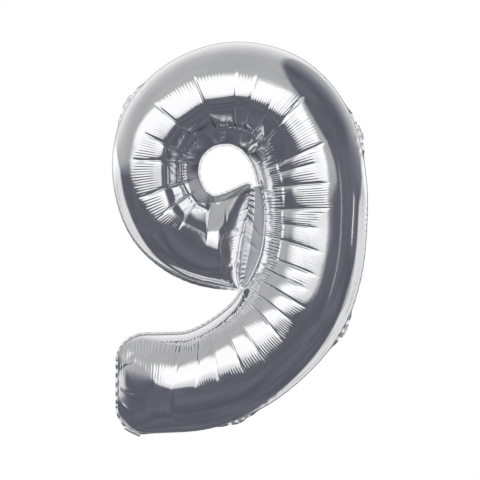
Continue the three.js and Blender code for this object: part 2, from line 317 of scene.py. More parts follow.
def rise(s):
    """Share of the tube's full depth that the pillow ends leave at length s."""
    tail = np.clip(1 - s / TAIL_CAP, 0, 1)
    arm = np.clip(1 - (LENGTH - s) / ARM_CAP, 0, 1)
    slack = 1 - ARM_SLACK * (1 - smoothstep(ARM_SLACK_FROM, ARM_SLACK_TO, LENGTH - s))
    return (1 - tail ** TAIL_CAP_POWER) * (1 - arm ** ARM_CAP_POWER) * slack


def inner_reach(s):
    """How far the inner seam strays from the tube's even width: the hole is a little wider,
    round at its foot, and the arm's tip stands up."""
    from_end = LENGTH - s
    reach = ARM_TIP * (1 - smoothstep(0, ARM_TIP_LENGTH, from_end))
    for height, places in FOOT_BUMPS:
        reach += height * MM * hump(*(place * MM for place in places), from_end)
    return reach - HOLE_WIDENING * stretch(HOLE_WIDENS, s)


def plain_dome(s, angle):
    """Points of the unwrinkled tube: plan x, height off the seam plane, plan z."""
    across = np.sin(angle)
    flat = plan_point(s, half_width(s) * across + inner_reach(s) * np.clip(across, 0, 1) ** 2)
    height = section(s)[3] * DEPTH_OVER_WIDTH * rise(s) * np.cos(angle)
    return np.stack([flat[..., 0], height, flat[..., 1]], -1)


def tube_lengths():
    """Lengths of the mesh's columns, close together where the pillow ends turn over."""
    def end(cap):
        steps = int(cap * np.pi / 2 / STEP)
        return cap * (1 - np.cos(np.linspace(0, np.pi / 2, steps + 1)))
    tail, arm = end(TAIL_CAP), end(ARM_CAP)
    steps = int((LENGTH - TAIL_CAP - ARM_CAP) / STEP)
    middle = np.linspace(TAIL_CAP, LENGTH - ARM_CAP, steps + 1)
    return np.concatenate([tail[:-1], middle, (LENGTH - arm[::-1])[1:]])


# ---- wrinkles -------------------------------------------------------------------------------

def row_angles():
    """Angles of the mesh's rows round the tube, closer together near the inner seam's ledge."""
    fine = np.linspace(-np.pi / 2, np.pi / 2, 2001)
    density = 1 + 1.6 * hump(0.40, 0.50, 0.74, 0.84, np.sin(fine))
    run = np.concatenate([[0], np.cumsum((density[1:] + density[:-1]) / 2)])
    return np.interp(np.linspace(0, run[-1], ROUND_ROWS + 1), run, fine)


def crease_places(rng, spread):
    """Creases as (length at the ridge, length at the inner seam, start, depth)."""
    rows = []
    for ridge, seam, start, depth in CREASES:
        shift = rng.uniform(-spread, spread)
        rows.append(((ridge + shift) * STATION, (seam + shift) * STATION, start, depth * MM))
    return rows


def panel_places(s, t, creases):
    """For each grid point: its panel's number, how far along the panel it lies (0 to 1), and
    the length at which the crease direction through it crosses the ridge."""
    knots = np.array([[0, 0]] + [c[:2] for c in creases] + [[LENGTH, LENGTH]])
    places = knots[:, :1] + (knots[:, 1:] - knots[:, :1]) * np.clip(t[:1, :], 0, 1)
    number = np.empty(s.shape, int)
    share = np.empty_like(s)
    for j in range(s.shape[1]):
        column = np.clip(s[:, j], 0, LENGTH)
        i = np.clip(np.searchsorted(places[:, j], column, side="right") - 1, 0, len(places) - 2)
        number[:, j] = i
        share[:, j] = (column - places[i, j]) / (places[i + 1, j] - places[i, j])
    ridge_length = knots[number, 0] * (1 - share) + knots[number + 1, 0] * share
    return places, number, share, ridge_length


def panel_chords(angle, places, number, share):
    """The tube pulled straight from crease to crease."""
    held = plain_dome(places, np.broadcast_to(angle[:1, :], places.shape))
    column = np.broadcast_to(np.arange(angle.shape[1])[None, :], number.shape)
    start, stop = held[number, column], held[number + 1, column]
    return start * (1 - share[..., None]) + stop * share[..., None]


def crease_depth(s, t, creases):
    """Narrow grooves with wide soft shoulders, shallower towards the inner seam."""
    total = np.zeros_like(s)
    for ridge, seam, start, depth in creases:
        line = ridge + (seam - ridge) * np.clip(t, -0.3, 1)
        away = np.abs(s - line)
        reach = smoothstep(start - 0.05, start + 0.25, t) * (1 - 0.75 * smoothstep(0.62, 0.9, t))
        groove = 0.42 * np.exp(-(away / CREASE_WIDTH) ** 1.3)
        groove += 0.16 * np.exp(-away / CREASE_SHOULDER)
        total -= depth * reach * groove
    return total


def comb(rng, length, pitch):
    """A wave along the tube whose teeth differ in height."""
    turns = np.cumsum(np.gradient(length) / pitch)
    return np.sin(2 * np.pi * turns) * (0.70 + 0.30 * wander(rng, turns, 1.0)), turns


def pleats(rng, s, t, number, ridge_length, creases):
    """Fine pleats along the ridge and the inner seam, faint ones between, and puckers at the
    outer seam."""
    line = s[:, 0]
    starts = np.interp(ridge_length, [c[0] for c in creases], [c[2] for c in creases])
    speed = np.linalg.norm(np.gradient(plan_point(line, 0.85 * section(line)[3]), axis=0), axis=1)
    speed = np.clip(speed / np.gradient(line), 0.3, 1.2)
    pitch = RIDGE_PITCH + 0.6 * MM * wander(rng, line, 40 * MM)
    wave, turns = comb(rng, line, pitch)
    seam_wave, seam_turns = comb(rng, line, SEAM_PITCH / speed)
    patch = np.clip(0.75 + 0.55 * wander(rng, line, 55 * MM), 0, 1)
    edge = 0.07 * wander(rng, turns, 1.0) + 0.05 * wander(rng, line, 40 * MM)
    seam_edge = 0.07 * wander(rng, seam_turns, 1.0)

    def along_crease(values):
        return np.interp(ridge_length, line, values)

    shift = rng.uniform(0, 0.20, len(creases) + 1)[number]
    u = t - starts - shift + along_crease(edge)
    ridge = hump(-0.05, 0.08, 0.22, 0.62, u)
    everywhere = along_crease(np.clip(0.35 + 0.9 * wander(rng, line, 60 * MM), 0, 1))
    tight = change(RING_TIGHTENS, s)
    between = hump(0.10, 0.30, 0.52, 0.66, t) * everywhere * (1 - tight)
    seam = (1 - tight) * hump(0.58, 0.70, 0.82, 0.90, t + along_crease(seam_edge))
    seam += tight * hump(0.54, 0.60, 0.66, 0.74, t + along_crease(seam_edge))
    fine = RIDGE_PLEAT * ridge * along_crease(patch) + FAINT_PLEAT * between
    fine *= along_crease(wave)
    strength = STEM_PLEAT - (STEM_PLEAT - RING_PLEAT) * tight
    fine += along_crease(seam_wave) * strength * seam * along_crease(0.5 + 0.5 * patch)
    fine *= smoothstep(60 * MM, 130 * MM, LENGTH - s)
    pucker, _ = comb(rng, line, PUCKER_PITCH + 5 * MM * wander(rng, line, 60 * MM))
    patchy = np.clip(wander(rng, line, 50 * MM), 0, 1)
    return fine + PUCKER * hump(-1.02, -0.995, -0.97, -0.88, t) * (pucker * patchy)[:, None]


def inner_profile(s, t):
    """Extra height of the inside of the bend, where the puckered film runs straight down to
    the seam instead of rounding over, the more so the tighter the bend."""
    inside = np.linspace(0, 1, 401)

    def straight(slope):
        drop = np.concatenate([[0], np.cumsum((slope[1:] + slope[:-1]) / 2) * inside[1]])
        return np.interp(np.clip(t, 0, 1), inside, 1 - drop / drop[-1])

    stem = straight(smoothstep(0.02, 0.42, inside))
    ring = straight(smoothstep(0.02, 0.34, inside) * (1 - 0.22 * smoothstep(0.60, 0.70, inside)))
    round_off = np.sqrt(1 - np.clip(t, 0, 1) ** 2)
    extra = 0.35 * change(STEM_STRAIGHTENS, s) * (stem - round_off)
    extra += 0.65 * change(RING_STRAIGHTENS, s) * (ring - round_off)
    extra *= 1 - change(ARM_ROUNDS_OVER, s)
    return section(s)[3] * DEPTH_OVER_WIDTH * rise(s) * extra


def ledge(rng, s, t, number):
    """The narrow step where the puckered strip along the inner seam begins."""
    panels = len(CREASES) + 1
    at = LEDGE_AT + 0.025 * rng.uniform(-1, 1, panels)[number]
    at += 0.10 * stretch(LEDGE_FAR_IN, s)
    at += 0.08 * change(LEDGE_MOVES_IN, s)
    depth = LEDGE_DEPTH + LEDGE_SPREAD * rng.uniform(-1, 1, panels)[number]
    depth *= stretch(LEDGE_RUNS, s)
    depth *= 1 - 0.8 * stretch(LEDGE_QUIET, s)
    return -depth * hump(at - 0.16, at - 0.012, at - 0.012, at + 0.022, t)


def end_folds(s, t):
    """Folds that run in from the tail's end and the arm's end."""
    total = np.zeros_like(s)
    for end, place, slant, reach, depth in END_FOLDS:
        along = s if end == "tail" else LENGTH - s
        away = np.abs(t - place - slant * along / (100 * MM)) * section(s)[3]
        fade = hump(2 * MM, 12 * MM, 0.5 * reach * MM, reach * MM, along)
        total -= depth * MM * fade * np.exp(-(away / END_FOLD_WIDTH) ** 1.3)
    return total


def dome_points(side, seed):
    """The wrinkled surface of one side: plan x, height, plan z, on a grid of s and t."""
    rng = np.random.default_rng(seed)
    s, angle = np.meshgrid(tube_lengths(), row_angles(), indexing="ij")
    t = np.sin(angle)
    creases = crease_places(rng, 0.0 if side < 0 else 0.22)
    places, number, share, ridge_length = panel_places(s, t, creases)
    plain = plain_dome(s, angle)
    chord = panel_chords(angle, places, number, share)
    ends = smoothstep(0, 60 * MM, s) * smoothstep(0, 40 * MM, LENGTH - s)
    pull = CHORD_PULL * hump(-0.25, 0.25, 0.55, 1.0, t) * ends
    points = plain + (chord - plain) * pull[..., None]
    points[..., 1] += inner_profile(s, t)
    du, dv = np.gradient(points, axis=0), np.gradient(points, axis=1)
    normal = np.cross(dv, du)
    normal /= np.linalg.norm(normal, axis=-1, keepdims=True) + 1e-12
    normal *= np.sign(normal[..., 1].sum())
    tilt = rng.uniform(-1, 1, len(CREASES) + 1)[number] * hump(-0.15, 0.2, 0.5, 0.8, t)
    tilt = tilt * (share - 0.5) * TILT
    tilt *= 1 - 0.7 * stretch(TILT_QUIET, s)
    pillow = PILLOW * 4 * share * (1 - share) * hump(-0.2, 0.3, 0.5, 0.8, t)
    swell = wander2(rng, s, t, 70 * MM, 0.45) * SWELL * (1 - t ** 2)
    push = pillow + tilt + swell + crease_depth(s, t, creases)
    push += pleats(rng, s, t, number, ridge_length, creases)
    speed = np.linalg.norm(np.gradient(plain[..., [0, 2]], axis=0), axis=-1)
    speed /= np.gradient(s, axis=0)
    tight = change(RING_TIGHTENS, s)
    push *= 1 - tight * (1 - smoothstep(0.15, 0.80, speed))
    push += ledge(rng, s, t, number)
    push *= smoothstep(0, 25 * MM, s) * smoothstep(0, 18 * MM, LENGTH - s)
    push += end_folds(s, t)
    return points + normal * push[..., None], s, t


def grid_faces(rows, columns, start=0):
    a = start + np.arange(rows - 1)[:, None] * columns + np.arange(columns - 1)[None, :]
    return np.stack([a, a + 1, a + columns + 1, a + columns], -1).reshape(-1, 4)


# ---- placing in the row's frame -------------------------------------------------------------

def seam_loop(points):
    """The dome grid's edge as one ring of grid indices, anticlockwise from the tail."""
    rows, columns = points.shape[:2]
    index = np.arange(rows * columns).reshape(rows, columns)
    return np.concatenate([index[:-1, 0], index[-1, :-1], index[:0:-1, -1], index[0, :0:-1]])


def out_of_edge(ring):
    """Unit directions out of a closed ring of plan points."""
    ahead = np.roll(ring, -3, axis=0) - np.roll(ring, 3, axis=0)
    out = np.stack([ahead[:, 1], -ahead[:, 0]], -1)
    return out / (np.linalg.norm(out, axis=1, keepdims=True) + 1e-12)


def plan_offset():
    """Where the plan's own origin lies in the row's frame, from the CAD front sheet's box."""
    _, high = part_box("front_foil_sheet")
    s = np.linspace(0, LENGTH, 2000)
    outer = plan_point(s, -section(s)[3] - SEAM_WIDTH)
    x_high, z_high = outer[:, 0].max(), outer[:, 1].max()
    return np.array([high.x - x_high, high.y + CAD_PLY, high.z - z_high])


ORIGIN = plan_offset()


def to_row(points, side):
    """Plan x, height and plan z as points of the row's frame, on the front (-1) or back (1)."""
    return np.stack([points[:, 0] + ORIGIN[0],
                     side * (points[:, 1] + PLY) + ORIGIN[1],
                     points[:, 2] + ORIGIN[2]], -1)


def flat_row(plan, side, lift):
    """Plan points in the seam's plane as points of the row's frame, moved off it by lift."""
    row = to_row(np.stack([plan[:, 0], np.zeros(len(plan)), plan[:, 1]], -1), side)
    row[:, 1] += lift
    return row


def make_mesh(name, vertices, faces, *materials):
    mesh = bpy.data.meshes.new(name)
    mesh.from_pydata(vertices.tolist(), [], faces.tolist())
    mesh.validate()
    mesh.polygons.foreach_set("use_smooth", [True] * len(mesh.polygons))
    for material in materials:
        mesh.materials.append(material)
    mesh.update()
    piece = bpy.data.objects.new(name, mesh)
    bpy.context.scene.collection.objects.link(piece)
    return piece


# ---- the flat seam and the web --------------------------------------------------------------

def ruffle(distance, seed):
    """How far the flat seam's cut edge waves out of its plane, along the seam."""
    rng = np.random.default_rng(seed)
    pitch = (17 + 6 * wander(rng, distance, 70 * MM)) * MM
    wave = np.sin(2 * np.pi * np.cumsum(np.gradient(distance) / pitch))
    return wave * (0.7 + 0.5 * wander(rng, distance, 40 * MM)) * MM


def fold_back(s, outer):
    """How far the seam turns back out of its plane, in radians: it curls back on the outside
    of the bend, and lies flat on the inside and where a tab or the neck is cut with it."""
    curl = np.where(outer, 2.7 * smoothstep(20 * MM, 90 * MM, s), 0.0)
    curl *= smoothstep(10 * MM, 240 * MM, LENGTH - s)
    for place in TAB_AT.values():
        curl *= smoothstep(17 * MM, 45 * MM, np.abs(s - place * STATION))
    return curl


def seam_skirt(points, s):
    """Rows of points from the dome's edge out to the cut edge, and which of them are kept."""
    loop = seam_loop(points)
    flat = points.reshape(-1, 3)
    ring = flat[loop][:, [0, 2]]
    columns = points.shape[1]
    outer = loop % columns == 0
    to_arm = LENGTH - s.reshape(-1)[loop]
    widths = SEAM_WIDTH * (1 + 0.7 * outer * hump(5 * MM, 60 * MM, 180 * MM, 300 * MM, to_arm))
    curl = fold_back(s.reshape(-1)[loop], outer)
    step = np.linalg.norm(np.roll(ring, -1, axis=0) - ring, axis=1)
    distance = np.concatenate([[0], np.cumsum(step)[:-1]])
    out = out_of_edge(ring)
    rows = [ring]
    heights = [np.zeros(len(ring))]
    wave = ruffle(distance, 5)
    loose = np.where(loop % columns == columns - 1, 0.15, 1.0)
    for k in range(1, SEAM_ROWS + 1):
        share = k / SEAM_ROWS
        reach = widths * share
        turn = np.where(curl > 0.01, curl, 0.01)
        sideways = reach * np.sin(turn * share) / (turn * share)
        back = reach * (1 - np.cos(turn * share)) / (turn * share)
        rows.append(ring + out * sideways[:, None])
        heights.append(back + wave * loose * share ** 1.5 * (1 - 0.3 * curl))
    return loop, np.array(rows), np.array(heights)


def nearest(path, point):
    return int(np.argmin(np.linalg.norm(path - point, axis=1)))


def web_span(points, s):
    """The rows of the stem's inner seam that the web joins, and that seam's plan points."""
    inner = plan_point(s[:, -1], half_width(s[:, -1]))
    half = len(inner) // 2
    top = nearest(inner[:half], points[-1, -1, [0, 2]])
    foot = nearest(inner[:half], points[-1, 0, [0, 2]])
    return foot, top, inner


def kept_seam(points, s):
    """Which quads of the seam ring are free seam: all but those at the arm's end and on the
    stretch of the stem that the web joins."""
    rows, columns = points.shape[:2]
    foot, top, _ = web_span(points, s)
    place = np.arange(2 * (rows - 1) + 2 * (columns - 1))
    arm_end = (place >= rows - 4) & (place < rows - 1 + columns + 3)
    inner_start = rows - 1 + columns - 1
    inner_row = rows - 1 - (place - inner_start)
    on_inner = (place >= inner_start) & (place < inner_start + rows - 1)
    beside_web = on_inner & (inner_row <= top + 1) & (inner_row >= foot - 3)
    kept = ~(arm_end | beside_web)
    return kept & np.roll(kept, -1)


def band_mesh(name, seed):
    """The fused band between the two sheets: a thin closed strip that follows the seam."""
    points, s, _ = dome_points(-1, seed)
    loop, skirt, waves = seam_skirt(points, s)
    n = len(loop)
    below = [(k, -1) for k in range(SEAM_ROWS)]
    above = [(k, 1) for k in range(SEAM_ROWS - 1, -1, -1)]
    rows = [flat_row(skirt[k], 0, waves[k] + layer * 0.5 * PLY) for k, layer in below + above]
    a = np.arange(len(rows))[:, None] * n + np.arange(n)[None, :]
    b = np.roll(a, -1, axis=1)
    faces = np.stack([a, b, np.roll(b, -1, axis=0), np.roll(a, -1, axis=0)], -1)
    kept = kept_seam(points, s)
    return make_mesh(name, np.concatenate(rows), faces[:, kept].reshape(-1, 4), SEAM_FOIL)


def in_hole_shade_strip(s, t):
    """The tightly gathered strip under the hole, painted darker than the open film as shade."""
    edge = 0.70 + 0.14 * change(STRIP_NARROWS, s)
    return (t > edge) & (s > STRIP_FROM * STATION)


def web_rows(points, s, side):
    """The web's rows, ruled between the arm's end and the stem's inner seam: puckered beside
    the arm, with a few wider tucks across."""
    foot, top, inner = web_span(points, s)
    end_line = points[-1][:, [0, 2]]
    columns = len(end_line)
    stem = np.linspace(foot, top, columns)
    stem_line = np.stack([np.interp(stem, np.arange(len(s)), inner[:, k]) for k in range(2)], -1)
    run = np.linalg.norm(end_line - end_line[0], axis=1) + np.arange(columns) * 1e-7
    rng = np.random.default_rng(11)
    pucker, _ = comb(rng, run, WEB_CRIMP_PITCH)
    dent, _ = comb(rng, run, WEB_TUCK_PITCH)
    rows = []
    for k in range(WEB_ROWS + 1):
        share = k / WEB_ROWS
        line = end_line * (1 - share) + stem_line * share
        crimp = np.sin(np.pi * min(k / CRIMPED_ROWS, 1)) * pucker * WEB_CRIMP
        tuck = np.sin(np.pi * share) * np.clip(dent, 0.6, 1) * WEB_TUCK
        rows.append(flat_row(line, side, crimp + tuck))
    return rows


def sheet_mesh(name, side, seed):
    """One foil sheet in one piece: the tube's half, its share of the flat seam and the web."""
    points, s, t = dome_points(side, seed)
    rows, columns = points.shape[:2]
    vertices = [to_row(points.reshape(-1, 3), side)]
    faces = [grid_faces(rows, columns)]
    # material 3 paints shade on the strip under the hole: a darker film colour
    finish = [np.where(in_hole_shade_strip(s, t)[:-1, :-1].reshape(-1), 3, 0)]

    ring, skirt, waves = seam_skirt(points, s)
    n = len(ring)
    kept = kept_seam(points, s)
    start = rows * columns
    for k in range(1, SEAM_ROWS + 1):
        vertices.append(flat_row(skirt[k], side, waves[k]))
        outer = start + np.arange(n)
        quads = np.stack([ring, outer, np.roll(outer, -1), np.roll(ring, -1)], -1)[kept]
        faces.append(quads)
        finish.append(np.full(len(quads), 1))
        ring = outer
        start += n

    web = web_rows(points, s, side)
    vertices += web
    faces.append(grid_faces(len(web), columns, start))
    # material 2 paints shade on the web between the arm and the stem: a darker film colour
    finish.append(np.repeat(np.where(np.arange(WEB_ROWS) < CRIMPED_ROWS, 1, 2), columns - 1))

    all_faces = np.concatenate(faces)
    if side > 0:
        all_faces = all_faces[:, ::-1]
    piece = make_mesh(name, np.concatenate(vertices), all_faces,
                      SILVER, SEAM_FOIL, WEB_SHADE_FOIL, SHADED_FOIL)
    piece.data.polygons.foreach_set("material_index", np.concatenate(finish))
    return piece


# ---- neck, valve and tabs -------------------------------------------------------------------

def joint_frame(name):
    """Pivot, direction along the hinge and direction out of the figure's edge of a fold."""
    joint = next(j for j in frame["joints"] if j["name"] == name)
    pivot = np.array(joint["pos_m"])
    hinge = np.array(joint["axis"]) / np.linalg.norm(joint["axis"])
    return pivot, hinge, np.array([-hinge[2], 0, hinge[0]])


def bent_strip(fold_name, fold, radius, x, reach, height):
    """Points of a strip that leaves the edge in its plane and turns back round the fold. x is
    along the fold, reach across it (0 at the fold) and height off the strip's middle."""
    pivot, hinge, out = joint_frame(fold_name)
    back = np.array([0.0, 1.0, 0.0])
    angle = np.radians(fold)
    set_off = radius * np.tan(angle / 2)
    turned = np.clip((reach + set_off) / (2 * set_off), 0, 1) * angle
    before = np.minimum(reach, -set_off)
    after = np.maximum(reach, set_off) - set_off
    forward = before + radius * np.sin(turned) + after * np.cos(turned)
    behind = radius * (1 - np.cos(turned)) + after * np.sin(turned)
    forward = forward - height * np.sin(turned)
    behind = behind + height * np.cos(turned)
    return (pivot + x[..., None] * hinge + forward[..., None] * out
            + behind[..., None] * back)


def closed_sheet(name, middle, lift, rows, columns, material, ring=False):
    """A thin closed sheet: middle(height) gives its points, lift its half thickness."""
    count = rows * columns
    top, bottom = middle(lift).reshape(-1, 3), middle(-lift).reshape(-1, 3)
    upper = grid_faces(rows, columns)
    index = np.arange(count).reshape(rows, columns)
    if ring:
        seam = np.stack([index[:-1, -1], index[:-1, 0], index[1:, 0], index[1:, -1]], -1)
        upper = np.concatenate([upper, seam])
        loops = [index[0, ::-1], index[-1]]
    else:
        loops = [np.concatenate([index[0, ::-1], index[1:, 0],
                                 index[-1, 1:], index[-2:0:-1, -1]])]
    faces = [upper, upper[:, ::-1] + count]
    for loop in loops:
        ahead = np.roll(loop, -1)
        faces.append(np.stack([loop, ahead, ahead + count, loop + count], -1))
    return make_mesh(name, np.concatenate([top, bottom]), np.concatenate(faces), material)


def neck_outline(reach):
    """Half width of the neck at a distance from its fold: straight, round at the mouth."""
    short = np.clip(NECK_ROUND - (NECK_LENGTH - reach), 0, NECK_ROUND)
    return NECK_WIDTH / 2 - NECK_ROUND + np.sqrt(np.maximum(NECK_ROUND ** 2 - short ** 2, 0))


def neck_ply(name, side, seed):
    """One film of the neck, limp and slightly open between its two crimped side seals."""
    rng = np.random.default_rng(seed)
    rows, columns = 100, 57
    reach = np.linspace(-NECK_ROOT, NECK_LENGTH, rows)
    share = np.linspace(-1, 1, columns)
    reach, share = np.meshgrid(reach, share, indexing="ij")
    x = share * neck_outline(reach)
    free = 1 - smoothstep(0.62, 0.80, np.abs(share))
    seal = 1 - free
    open_up = (1.0 + 1.6 * smoothstep(30 * MM, NECK_LENGTH, reach)) * MM
    open_up *= smoothstep(2 * MM, 14 * MM, reach)
    limp = wander2(rng, reach, x, 13 * MM, 6 * MM) * 0.5 * MM
    limp *= smoothstep(4 * MM, 12 * MM, reach)
    crimp = CRIMP * np.sin(2 * np.pi * reach / CRIMP_PITCH) * seal
    height = 0.32 * MM + free * (open_up * (1 - share ** 2) + limp) + crimp

    def middle(lift):
        return bent_strip("neck_fold", NECK_FOLD, NECK_BEND, x, reach, side * height + lift)

    piece = closed_sheet(name, middle, 0.05 * MM, rows, columns, SILVER)
    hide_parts("neck_front_ply" if side < 0 else "neck_back_ply")
    across_fold(piece)
    return piece


def across_fold(piece):
    """Bakes the piece's placement into its mesh."""
    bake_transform(piece)


def neck_seal(name, side):
    """The crimped seal along one side of the neck."""
    rows, columns = 90, 7
    reach = np.linspace(0.5 * MM, NECK_LENGTH - NECK_ROUND, rows)
    inset = np.linspace(0.15 * MM, NECK_SEAL, columns)
    reach, inset = np.meshgrid(reach, inset, indexing="ij")
    x = side * (NECK_WIDTH / 2 - inset)
    crimp = CRIMP * np.sin(2 * np.pi * reach / CRIMP_PITCH)

    def middle(lift):
        return bent_strip("neck_fold", NECK_FOLD, NECK_BEND, x, reach, crimp + lift)

    piece = closed_sheet(name, middle, 0.16 * MM, rows, columns, SEAM_FOIL)
    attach(piece, "neck")
    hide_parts("neck_side_seal_left" if side < 0 else "neck_side_seal_right")
    return piece


def valve_film(name, side, seed):
    """One thin film of the valve in the neck, lying loosely on the other."""
    rng = np.random.default_rng(seed)
    rows, columns = 60, 25
    reach = np.linspace(2.5 * MM, VALVE_LENGTH, rows)
    x = np.linspace(-VALVE_WIDTH / 2, VALVE_WIDTH / 2, columns)
    reach, x = np.meshgrid(reach, x, indexing="ij")
    loose = smoothstep(6 * MM, 30 * MM, reach) * (1 - (2 * x / VALVE_WIDTH) ** 2)
    height = 0.12 * MM + 0.35 * MM * loose * (1 + 0.5 * wander2(rng, reach, x, 11 * MM, 7 * MM))

    def middle(lift):
        return bent_strip("neck_fold", NECK_FOLD, NECK_BEND, x, reach, side * height + lift)

    piece = closed_sheet(name, middle, 0.025 * MM, rows, columns, CLEAR_FILM)
    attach(piece, "neck")
    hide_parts("valve_front_film_outer" if side < 0 else "valve_back_film_outer")
    return piece


def tab_edge(across, beyond):
    """Distance from the ribbon hole's centre to the D's outline along rays, by bisection."""
    near, far = np.zeros(len(across)), np.full(len(across), TAB_WIDTH)
    for _ in range(30):
        middle = (near + far) / 2
        x, reach = across * middle, TAB_HOLE_AT + beyond * middle
        curve = (2 * x / TAB_WIDTH) ** 2 + (np.maximum(reach, 0) / TAB_LENGTH) ** 2
        inside = (curve < 1) & (reach > -TAB_ROOT)
        near, far = np.where(inside, middle, near), np.where(inside, far, middle)
    return near


def hanging_tab(place, seed):
    """A D-shaped tab of both films fused together, with a round hole for a ribbon."""
    rng = np.random.default_rng(seed)
    rows, columns = 12, 96
    turn = np.linspace(0, 2 * np.pi, columns, endpoint=False)
    across, beyond = np.cos(turn), np.sin(turn)
    rim = TAB_HOLE / 2
    radius = rim + (tab_edge(across, beyond) - rim) * np.linspace(0, 1, rows)[:, None]
    x, reach = across * radius, TAB_HOLE_AT + beyond * radius
    dents = wander2(rng, x, reach, 5 * MM, 4 * MM) * 0.35 * MM * smoothstep(0, 4 * MM, reach)
    crimp = 0.06 * MM * np.sin(2 * np.pi * x / (1.4 * MM))
    curl = 0.9 * MM * (reach / TAB_LENGTH) ** 2 * np.sin(x / (6 * MM) + seed)
    height = dents + crimp + curl
    fold = "tab_%s_fold" % place

    def middle(lift):
        return bent_strip(fold, TAB_FOLD, TAB_BEND, x, reach, height + lift)

    piece = closed_sheet("hanging_tab_" + place, middle, 0.12 * MM, rows, columns, SEAM_FOIL,
                         ring=True)
    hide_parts("hang_tab_" + place)
    across_fold(piece)
    return piece


# ---- materials ------------------------------------------------------------------------------

def new_material(name):
    material = bpy.data.materials.new(name)
    material.use_nodes = True
    nodes = material.node_tree.nodes
    shader = nodes["Principled BSDF"]
    return material, nodes, material.node_tree.links, shader


def noise(nodes, links, vector, scale, detail):
    """The value of a noise texture."""
    node = nodes.new("ShaderNodeTexNoise")
    node.inputs["Scale"].default_value = scale
    node.inputs["Detail"].default_value = detail
    links.new(vector, node.inputs["Vector"])
    return node.outputs["Fac"]


def map_range(nodes, links, value, low, high):
    """A value from 0 to 1 turned into one from low to high."""
    node = nodes.new("ShaderNodeMapRange")
    node.inputs["To Min"].default_value = low
    node.inputs["To Max"].default_value = high
    links.new(value, node.inputs["Value"])
    return node.outputs["Result"]


def blend_colours(nodes, links, factor, first, second):
    node = nodes.new("ShaderNodeMix")
    node.data_type = "RGBA"
    node.inputs[6].default_value = (*first, 1)
    node.inputs[7].default_value = (*second, 1)
    links.new(factor, node.inputs["Factor"])
    return node.outputs[2]


def foil_material(name, light, dark, rough_low, rough_high, grain):
    """Metallised film in two colours, bright or darkened as painted shade: faint cloudiness, and a
    fine crinkle that only bends highlights.
    """
    material, nodes, links, shader = new_material(name)
    shader.inputs["Metallic"].default_value = 1.0
    place = nodes.new("ShaderNodeTexCoord").outputs["Object"]
    cloud = noise(nodes, links, place, 9.0, 3.0)
    crinkle = noise(nodes, links, place, grain, 2.0)
    bump = nodes.new("ShaderNodeBump")
    bump.inputs["Strength"].default_value = 0.06
    bump.inputs["Distance"].default_value = 0.001
    links.new(blend_colours(nodes, links, cloud, dark, light), shader.inputs["Base Color"])
    links.new(map_range(nodes, links, cloud, rough_low, rough_high), shader.inputs["Roughness"])
    links.new(crinkle, bump.inputs["Height"])
    links.new(bump.outputs["Normal"], shader.inputs["Normal"])
    return material


def clear_film():
    """Thin polyethylene: nearly clear, faintly milky in patches."""
    material, nodes, links, shader = new_material("clear_film")
    shader.inputs["Base Color"].default_value = (0.93, 0.95, 0.96, 1)
    shader.inputs["IOR"].default_value = 1.5
    place = nodes.new("ShaderNodeTexCoord").outputs["Object"]
    milk = noise(nodes, links, place, 120.0, 3.0)
    links.new(map_range(nodes, links, milk, 0.30, 0.55), shader.inputs["Alpha"])
    links.new(map_range(nodes, links, milk, 0.12, 0.30), shader.inputs["Roughness"])
    return material


# name, lighter and darker colour, roughness from and to, scale of the crinkle
SILVER = foil_material("silver_film", (0.94, 0.94, 0.955), (0.88, 0.88, 0.90), 0.05, 0.12, 90)
SEAM_FOIL = foil_material("crimped_film", (0.86, 0.86, 0.88), (0.74, 0.74, 0.77), 0.14, 0.30, 400)
# painted shade: the strip under the hole, darker than the open film
SHADED_FOIL = foil_material("gathered_film_painted_shade", (0.44, 0.44, 0.46), (0.36, 0.36, 0.38), 0.18, 0.30, 200)
# painted shade: the web deep between the bulges, darker than the open film
WEB_SHADE_FOIL = foil_material("web_painted_shade_film", (0.50, 0.50, 0.53), (0.38, 0.38, 0.41), 0.25, 0.40, 300)
CLEAR_FILM = clear_film()


# ---- studio ---------------------------------------------------------------------------------

class Formula:
    """The world's shader nodes as a formula. Each method returns the socket of its result."""

    def __init__(self, tree):
        self.nodes, self.links = tree.nodes, tree.links

    def math(self, operation, *values):
        node = self.nodes.new("ShaderNodeMath")
        node.operation = operation
        for socket, value in zip(node.inputs, values):
            if isinstance(value, (int, float)):
                socket.default_value = value
            else:
                self.links.new(value, socket)
        return node.outputs[0]

    def add(self, a, b):
        return self.math("ADD", a, b)

    def less(self, a, b):
        return self.math("SUBTRACT", a, b)

    def times(self, a, b):
        return self.math("MULTIPLY", a, b)

    def highest(self, a, b):
        return self.math("MAXIMUM", a, b)

    def lowest(self, a, b):
        return self.math("MINIMUM", a, b)

    def size(self, a):
        return self.math("ABSOLUTE", a)

    def ramp(self, value, low, high):
        node = self.nodes.new("ShaderNodeMapRange")
        node.interpolation_type = "SMOOTHSTEP"
        node.inputs["From Min"].default_value = low
        node.inputs["From Max"].default_value = high
        self.links.new(value, node.inputs["Value"])
        return node.outputs["Result"]

    def clouds(self, vector, scale, detail):
        return noise(self.nodes, self.links, vector, scale, detail)


def room_light(f, way, x, y, z):
    """A dark floor and right side, and elsewhere a grey that lifts overhead."""
    above = f.ramp(z, -0.08, 0.09)
    high_edge = f.add(f.less(0.68, f.times(z, 0.75)), f.times(f.times(z, z), 0.39))
    low_edge = f.add(f.times(f.highest(z, 0.0), 3.0), 0.47)
    on_right = f.ramp(f.less(x, f.lowest(high_edge, low_edge)), 0.0, 0.07)
    grey = f.times(above, f.less(1.0, on_right))
    patchy = f.times(f.ramp(f.clouds(way, 3.0, 2.0), 0.30, 0.75), PATCHY_LEVEL)
    overhead = f.times(f.ramp(z, 0.0, 0.35), f.ramp(y, -0.25, 1.0))
    level = f.add(f.add(DARK_LEVEL, patchy), f.times(grey, GREY_LEVEL))
    return f.add(level, f.times(overhead, OVERHEAD_LEVEL))


